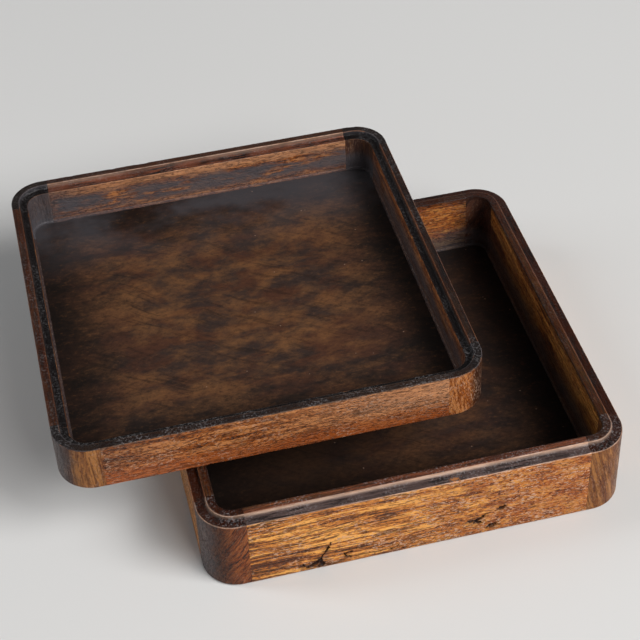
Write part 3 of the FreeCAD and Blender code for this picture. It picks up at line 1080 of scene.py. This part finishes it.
def panel_wood(name, half, woods, seed, warmth, back_sheen_share, painted_lid_shadow=0.0):
    """Dark, clouded old wood for a wide panel, with painted shade that makes it nearly black beside
    the walls, a painted shadow of the lid where asked, and painted sheen that greys it at the back.
    """
    material, tree, shader, place = new_material(name)
    mottle = tree.group(shared("mottle"), place=grain_place(tree, place, ALONG_X, seed))
    relief = mottle["Relief"]
    ragged = tree.times(tree.minus(relief, 0.5), 20 * MM)
    # Painted shade: the panel darkens and loses its warm patches toward each wall.
    inward = tree.plus(section_place(tree, place, half)["Width"], ragged)
    from_wall = tree.ramp(inward, half.wall, half.wall + 52 * MM)
    fine = tree.ramp(relief, 0.3, 0.7, 0.65, 1.0)
    warm = tree.times(mottle["Warm"], tree.times(from_wall, fine))
    red = tree.times(mottle["Red"], tree.plus(0.15, tree.times(from_wall, 0.85)))
    to_right = off_middle(tree, place, half)
    to_back = tree.minus(tree.axes(place)[1], half.centre.y)
    # Painted sheen: blue-grey in clouds toward the back of the panel, standing in for the reflection
    # there.
    at_back = tree.ramp(to_back, 30 * MM, half.half_side, 0.0, back_sheen_share)
    bloom = tree.ramp(tree.fibres(place, 40, 30, 4, 0.6), 0.3, 0.6)

    layers = Layers(tree, tree.blend(from_wall, woods.panel_dark, woods.panel_ground))
    layers.lay(woods.panel_red, red, warmth)
    layers.lay(woods.panel_warm, warm, 0.85 * warmth)
    layers.lay(woods.panel_dark, mottle["Lines"], 0.42)
    layers.lay(woods.panel_dark, tree.ramp(relief, 0.36, 0.50, 0.3, 0.0))
    layers.lay(woods.panel_warm, tree.ramp(relief, 0.56, 0.68, 0.0, 0.2))
    # Painted shadow: the panel darkens toward its left, where the lid's shadow falls on the base's
    # floor.
    layers.lay(woods.panel_dark, tree.ramp(to_right, 25 * MM, -35 * MM, 0.0, painted_lid_shadow))
    layers.lay(woods.bloom_and_sheen, at_back, bloom)
    layers.lay(woods.fleck, mottle["Specks"], 0.3)
    tree.feed(shader.inputs["Base Color"], layers.colour)
    tree.feed(shader.inputs["Roughness"], tree.ramp(relief, 0.3, 0.7, 0.36, 0.48))
    tree.feed(shader.inputs["Normal"], tree.bump(relief, 0.5, 0.08 * MM))
    shader.inputs["Specular IOR Level"].default_value = 0.20
    return material


def dress(piece, material):
    piece.data.materials.clear()
    piece.data.materials.append(material)


def turn_of(side):
    return ALONG_X if side in ("front", "back") else ALONG_Y


# Middle and reaches of the chip on the base's front ledge, in millimetres
LEDGE_KNOCK = ((14.1, -88.6, 36), (2.6, 1.3, 1.0))


def amber_wood(side, half, woods):
    """Golden amber, streaked dark along the grain, and redder at the front board's right end."""
    tones = (woods.amber_dark, woods.amber, woods.amber_gold)
    # Painted shade: the inner side walls darken toward the panel.
    painted_shade_below = (patch(half, woods.block_dark, 0.88, up=(32, 6), inside=True),)
    shades = {
        "front": (
            patch(half, woods.amber_red, 0.6, along=(-20, 60), ragged=80),
            # Painted shade: darker along the board's foot.
            patch(half, woods.block_brown, 0.35, up=(-3, -8), ragged=3),
        ),
        "right": painted_shade_below,
        "back": (
            patch(half, woods.amber_red, 0.55, up=(8, 9), ragged=14),
            patch(half, woods.bloom_and_sheen, 0.75, up=(14, 5), inside=True),
            # Painted shade: the inside darkens toward both back corners.
            patch(half, woods.block_dark, 0.6, bend=(62, 73), inside=True),
        ),
        "left": painted_shade_below,
    }
    at_front = side == "front"
    return frame_wood(
        f"amber board {side}", half, tones, woods, turn_of(side), seed=1 + SIDES.index(side),
        rim=base_rim(woods, side), figure=finer_to_the_right if at_front else 0.35, pore=0.82,
        fleck=0.75 if at_front else 0.2, haze_spread=13, shades=shades[side],
        knock=LEDGE_KNOCK if at_front else None,
    )


def russet_wood(side, half, woods):
    """Red-brown, with short pale and grey streaks, and darker at the front board's left end, which is
    painted shade.
    """
    tones = (woods.russet_dark, woods.russet, woods.russet_pale)
    # Painted shade: the inner side walls darken toward the panel.
    painted_shade_below = (patch(half, woods.block_dark, 0.8, up=(16, 7), ragged=3, inside=True),)
    shades = {
        "front": (
            # Painted sheen high on the front board toward its right.
            patch(half, woods.russet_sheen, 0.8, along=(-25, 90), up=(0, 13)),
            # Painted shade toward the front board's left end.
            patch(half, woods.russet_dark, 0.45, along=(-30, -76), up=(4, 12)),
            patch(half, woods.amber_red, 0.85, up=(9, 0), ragged=3),
        ),
        "right": painted_shade_below,
        "back": (
            # Painted light: a brighter band high on the inside of the back board toward its left.
            patch(half, woods.russet_sheen, 0.7, along=(-80, -20), up=(12, 15), ragged=3),
            patch(half, woods.bloom_and_sheen, 0.6, along=(-35, -74), ragged=12, inside=True),
        ),
        # Painted shade over all of the left board's inside.
        "left": painted_shade_below + (patch(half, woods.block_dark, 0.6, inside=True),),
    }
    return frame_wood(
        f"russet board {side}", half, tones, woods, turn_of(side), seed=31 + SIDES.index(side),
        rim=lid_rim(woods, side), figure=0.45, pore=0.8, fleck=0.38 if side == "front" else 0.2,
        bloom_and_sheen=0.9 if side == "back" else 0.45, haze_at=7.5, haze_spread=8, shades=shades[side],
    )


def red_block_wood(name, half, woods, seed, rim, shades):
    """Fine red-brown grain that fans out, dark round the bend."""
    tones = (woods.block_dark, woods.block_red, woods.block_rust)
    return frame_wood(
        name, half, tones, woods, upright(-28), seed, rim, band=1.2, wave=9, pore=0.45,
        fleck=0.12, bloom_and_sheen=0.8, shades=shades,
    )


def gold_block_wood(name, half, woods, seed, rim, shades, lean=3):
    """Golden-brown and dark stripes, nearly upright."""
    tones = (woods.amber_dark, woods.block_brown, woods.block_gold)
    return frame_wood(
        name, half, tones, woods, upright(lean), seed, rim, band=3.0, wave=6, pore=0.35,
        fleck=0.15, bloom_and_sheen=0.8, shades=shades,
    )


def russet_block_wood(name, half, woods, seed, rim, shades):
    """The colour of the lid's boards, finely speckled."""
    tones = (woods.russet, woods.russet, woods.russet_pale)
    return frame_wood(
        name, half, tones, woods, upright(8), seed, rim, band=1.4, wave=6, pore=0.35,
        fleck=0.5, figure=0.6, bloom_and_sheen=0.8, shades=shades,
    )


def block_shades(half, woods, corner, near):
    """Dark patches on a block: dark round the front bends, which on the left one is painted shade on
    the side turned from the light, with a painted blue-grey highlight on its far side; and painted
    shade all over the inside of the back ones, with painted sheen in the back left one. Near is where
    the dark begins, in millimetres from the half's middle."""
    if corner == "front_left":
        return (
            # Painted shade round the bend, turned from the light.
            patch(half, woods.block_dark, 0.72, bend=(near, near + 8)),
            # Painted highlight: blue-grey on the far side of the bend.
            patch(half, woods.bloom_and_sheen, 0.55, bend=(83, 89), ragged=2.5),
        )
    if corner == "front_right":
        return (patch(half, woods.block_dark, 0.9, bend=(near, near + 5), ragged=2),)
    shades = (
        patch(half, woods.block_dark, 0.55, bend=(80, 88)),
        # Painted shade in the inner corner.
        patch(half, woods.block_dark, 0.8, bend=(64, 76), inside=True),
    )
    if corner == "back_left":
        # Painted sheen: blue-grey in the back left inner corner.
        shades += (patch(half, woods.bloom_and_sheen, 0.65, bend=(60, 68), inside=True),)
    return shades


class INKBOX_OT_base_boards(bpy.types.Operator):
    """Makes the base's four boards"""

    bl_idname = "ink_box.base_boards"
    bl_label = "Base boards"

    def execute(self, context):
        scene = context.scene
        half = Half("base", scene.ink_box_section)
        for quarters, side in enumerate(SIDES):
            cracks = crack_front_board if side == "front" else None
            piece = frame_piece(half, f"base_{side}_board", board_mesh, quarters, scene, cracks)
            dress(piece, amber_wood(side, half, scene.ink_box_woods))
        return {"FINISHED"}


class INKBOX_OT_base_corners(bpy.types.Operator):
    """Makes the base's four corner blocks"""

    bl_idname = "ink_box.base_corners"
    bl_label = "Base corner blocks"

    def execute(self, context):
        scene = context.scene
        woods = scene.ink_box_woods
        half = Half("base", scene.ink_box_section)
        for quarters, corner in enumerate(CORNERS):
            piece = frame_piece(half, f"base_{corner}_corner", corner_mesh, quarters, scene)
            name = f"base block {corner}"
            rim = base_rim(woods, corner)
            if corner == "front_right":
                shades = (patch(half, woods.block_dark, 0.5, bend=(83, 89)),)
                dress(piece, gold_block_wood(name, half, woods, 11, rim, shades, lean=14))
            else:
                shades = block_shades(half, woods, corner, near=76)
                dress(piece, red_block_wood(name, half, woods, 12 + quarters, rim, shades))
        return {"FINISHED"}


class INKBOX_OT_base_floor(bpy.types.Operator):
    """Dresses the base's floor panel"""

    bl_idname = "ink_box.base_floor"
    bl_label = "Base floor panel"

    def execute(self, context):
        scene = context.scene
        half = Half("base", scene.ink_box_section)
        wood = panel_wood(
            "base floor panel", half, scene.ink_box_woods, seed=21, warmth=0.5, back_sheen_share=0.15,
            painted_lid_shadow=0.7,
        )
        dress(NODES["base_floor_panel"], wood)
        return {"FINISHED"}


class INKBOX_OT_lid_boards(bpy.types.Operator):
    """Makes the lid's four boards"""

    bl_idname = "ink_box.lid_boards"
    bl_label = "Lid boards"

    def execute(self, context):
        scene = context.scene
        half = Half("lid", scene.ink_box_section)
        for quarters, side in enumerate(SIDES):
            piece = frame_piece(half, f"lid_{side}_board", board_mesh, quarters, scene)
            dress(piece, russet_wood(side, half, scene.ink_box_woods))
        return {"FINISHED"}


class INKBOX_OT_lid_corners(bpy.types.Operator):
    """Makes the lid's four corner blocks"""

    bl_idname = "ink_box.lid_corners"
    bl_label = "Lid corner blocks"

    def execute(self, context):
        scene = context.scene
        woods = scene.ink_box_woods
        half = Half("lid", scene.ink_box_section)
        for quarters, corner in enumerate(CORNERS):
            piece = frame_piece(half, f"lid_{corner}_corner", corner_mesh, quarters, scene)
            shades = block_shades(half, woods, corner, near=80)
            wood = russet_block_wood if corner == "front_right" else gold_block_wood
            rim = lid_rim(woods, corner)
            dress(piece, wood(f"lid block {corner}", half, woods, 41 + quarters, rim, shades))
        return {"FINISHED"}


class INKBOX_OT_lid_panel(bpy.types.Operator):
    """Dresses the lid's top panel"""

    bl_idname = "ink_box.lid_panel"
    bl_label = "Lid top panel"

    def execute(self, context):
        scene = context.scene
        half = Half("lid", scene.ink_box_section)
        wood = panel_wood(
            "lid top panel", half, scene.ink_box_woods, seed=51, warmth=1.0, back_sheen_share=0.7
        )
        dress(NODES["lid_top_panel"], wood)
        return {"FINISHED"}


class INKBOX_OT_splines(bpy.types.Operator):
    """Dresses the hidden splines of both halves"""

    bl_idname = "ink_box.splines"
    bl_label = "Splines"

    def execute(self, context):
        scene = context.scene
        woods = scene.ink_box_woods
        tones = (woods.russet_dark, woods.spline, woods.spline)
        for seed, name in ((61, "base"), (62, "lid")):
            half = Half(name, scene.ink_box_section)
            rim = Rim(woods.spline, woods.spline, woods.spline)
            wood = frame_wood(f"{name} spline wood", half, tones, woods, UPRIGHT, seed, rim, bloom_and_sheen=0.0)
            dress(NODES[f"{name}_splines"], wood)
        return {"FINISHED"}


# Camera, fitted to the photo's edges, and studio

# Turn in degrees, lens and sensor in millimetres
CAMERA_PLACE = (-0.12718, -0.52142, 0.54212)
CAMERA_TURN = (47.4198, 2.2057, -13.6852)
CAMERA_LENS = 94.253
CAMERA_SENSOR = 36.0
FLOOR_REACH = 8.0
# Brightness of the backdrop, and where the floor turns into it, in metres from the box
BACKDROP = 0.66
BACKDROP_FROM = (0.45, 1.5)
AIM = Vector((-0.02, 0.02, 0.03))
# Each lamp's place, size and tint
LAMPS = {
    "key": ((1.86, -1.65, 2.25), (1.5, 1.5), (1, 1, 1)),
    "fill": ((0.90, -2.55, 1.98), (1.2, 0.9), (1, 1, 1)),
    "edge": ((-2.30, 0.80, 1.60), (0.7, 2.2), (0.92, 0.96, 1)),
}


def add_lamp(name, place, size, watts, tint):
    """A soft rectangular lamp that faces the box."""
    data = bpy.data.lights.new(name, "AREA")
    data.shape = "RECTANGLE"
    data.size, data.size_y = size
    data.energy = watts
    data.color = tint
    lamp = add_object(name, data)
    lamp.location = place
    lamp.rotation_euler = (AIM - Vector(place)).to_track_quat("-Z", "Y").to_euler()
    return lamp


def add_floor(studio):
    """A pale floor that runs into an even backdrop away from the box."""
    mesh = bmesh.new()
    bmesh.ops.create_grid(mesh, x_segments=4, y_segments=4, size=FLOOR_REACH)
    floor = mesh_object(mesh, "studio_floor")
    material, tree, shader, place = new_material("studio floor")
    shade = tree.ramp(tree.cloud(place, 600, detail=1), 0.3, 0.7)
    tint = tree.blend(shade, tuple(0.97 * part for part in studio.floor), studio.floor)
    seen = tree.node("ShaderNodeLightPath").outputs["Is Camera Ray"]
    far = tree.times(tree.ramp(tree.vector("LENGTH", place), *BACKDROP_FROM), seen)
    tree.feed(shader.inputs["Base Color"], tree.blend(far, tint, (0, 0, 0)))
    shader.inputs["Roughness"].default_value = 0.9
    shader.inputs["Specular IOR Level"].default_value = 0.1
    tree.feed(shader.inputs["Emission Color"], tree.blend(far, (0, 0, 0), (BACKDROP,) * 3))
    shader.inputs["Emission Strength"].default_value = 1
    dress(floor, material)


def add_world(studio):
    """Light from all round, paler near the horizon."""
    world = bpy.data.worlds.new("studio")
    world.use_nodes = True
    world.node_tree.nodes.clear()
    tree = Tree(world.node_tree)
    background = tree.node("ShaderNodeBackground")
    output = tree.node("ShaderNodeOutputWorld")
    up = tree.axes(tree.node("ShaderNodeTexCoord").outputs["Generated"])[2]
    light = tree.ramp(up, 0.08, 0.5, studio.low_sky, studio.high_sky)
    seen = tree.node("ShaderNodeLightPath").outputs["Is Camera Ray"]
    shown = tree.math("MULTIPLY_ADD", seen, tree.minus(BACKDROP, light), light)
    tree.feed(background.inputs["Strength"], shown)
    background.inputs["Color"].default_value = (1, 1, 1, 1)
    tree.feed(output.inputs["Surface"], background.outputs[0])
    bpy.context.scene.world = world


def add_camera():
    data = bpy.data.cameras.new("camera")
    data.sensor_width = CAMERA_SENSOR
    data.lens = CAMERA_LENS
    data.clip_start = 0.01
    camera = add_object("camera", data)
    camera.location = CAMERA_PLACE
    camera.rotation_euler = Euler([math.radians(angle) for angle in CAMERA_TURN])
    bpy.context.scene.camera = camera


class INKBOX_OT_studio(bpy.types.Operator):
    """Makes the pale floor, the soft lamps and the camera"""

    bl_idname = "ink_box.studio"
    bl_label = "Studio"

    def execute(self, context):
        scene = context.scene
        studio = scene.ink_box_studio
        scene.view_settings.view_transform = "Standard"
        add_floor(studio)
        add_world(studio)
        for name, (place, size, tint) in LAMPS.items():
            add_lamp(f"{name}_lamp", place, size, getattr(studio, f"{name}_power"), tint)
        add_camera()
        return {"FINISHED"}


OPERATORS = (
    INKBOX_OT_base_boards,
    INKBOX_OT_base_corners,
    INKBOX_OT_base_floor,
    INKBOX_OT_lid_boards,
    INKBOX_OT_lid_corners,
    INKBOX_OT_lid_panel,
    INKBOX_OT_splines,
    INKBOX_OT_studio,
)


class INKBOX_PT_sidebar(bpy.types.Panel):
    """Lists the steps and their sizes and colours"""

    bl_idname = "INKBOX_PT_sidebar"
    bl_label = "Ink box"
    bl_space_type = "VIEW_3D"
    bl_region_type = "UI"
    bl_category = "Ink box"

    def draw(self, context):
        for operator in OPERATORS:
            self.layout.operator(operator.bl_idname)
        for name in SETTINGS:
            box = self.layout.box()
            group = getattr(context.scene, name)
            for field in group.__annotations__:
                box.prop(group, field)


def register():
    for settings in SETTINGS.values():
        bpy.utils.register_class(settings)
    for operator in OPERATORS:
        bpy.utils.register_class(operator)
    bpy.utils.register_class(INKBOX_PT_sidebar)
    for name, settings in SETTINGS.items():
        setattr(bpy.types.Scene, name, bpy.props.PointerProperty(type=settings))


def unregister():
    for name in SETTINGS:
        delattr(bpy.types.Scene, name)
    bpy.utils.unregister_class(INKBOX_PT_sidebar)
    for operator in reversed(OPERATORS):
        bpy.utils.unregister_class(operator)
    for settings in reversed(SETTINGS.values()):
        bpy.utils.unregister_class(settings)


def main():
    register()
    for operator in OPERATORS:
        category, name = operator.bl_idname.split(".")
        getattr(getattr(bpy.ops, category), name)()


if __name__ == "__main__":
    main()
